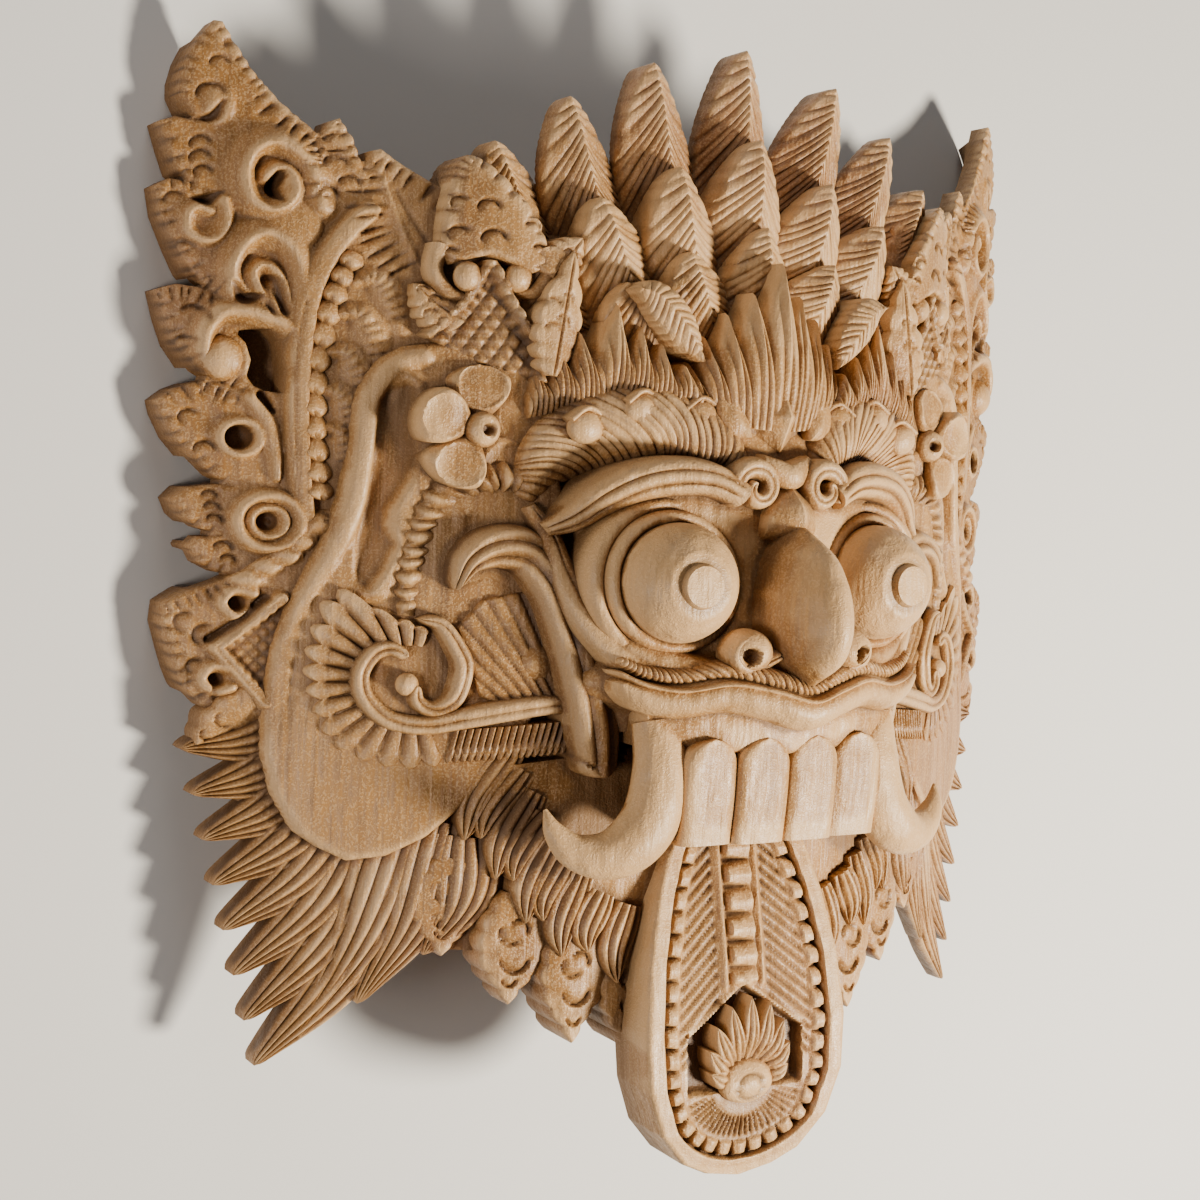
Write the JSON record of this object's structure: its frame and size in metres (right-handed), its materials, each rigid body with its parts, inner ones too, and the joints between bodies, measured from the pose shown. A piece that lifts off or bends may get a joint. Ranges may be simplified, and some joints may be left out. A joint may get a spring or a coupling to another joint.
{
  "type": "rangda mask",
  "caption": "Carved wooden demon wall mask with fretted wings, feather crest, bulging eyes, tusks and a long tongue, hollow behind.",
  "frame": {"origin": "middle of the mask's outline, on the floor that it lies on", "axes": "+X to the viewer's right, +Y towards the crest, +Z out of the face; the mask lies on its back"},
  "size_m": [0.4604, 0.4919, 0.2088],
  "materials": {
    "carved_wood": "satin, unpainted pale wood with brown shade in the cuts"
  },
  "bodies": {
    "root": {"mask": "carved_wood"}
  },
  "joints": []
}
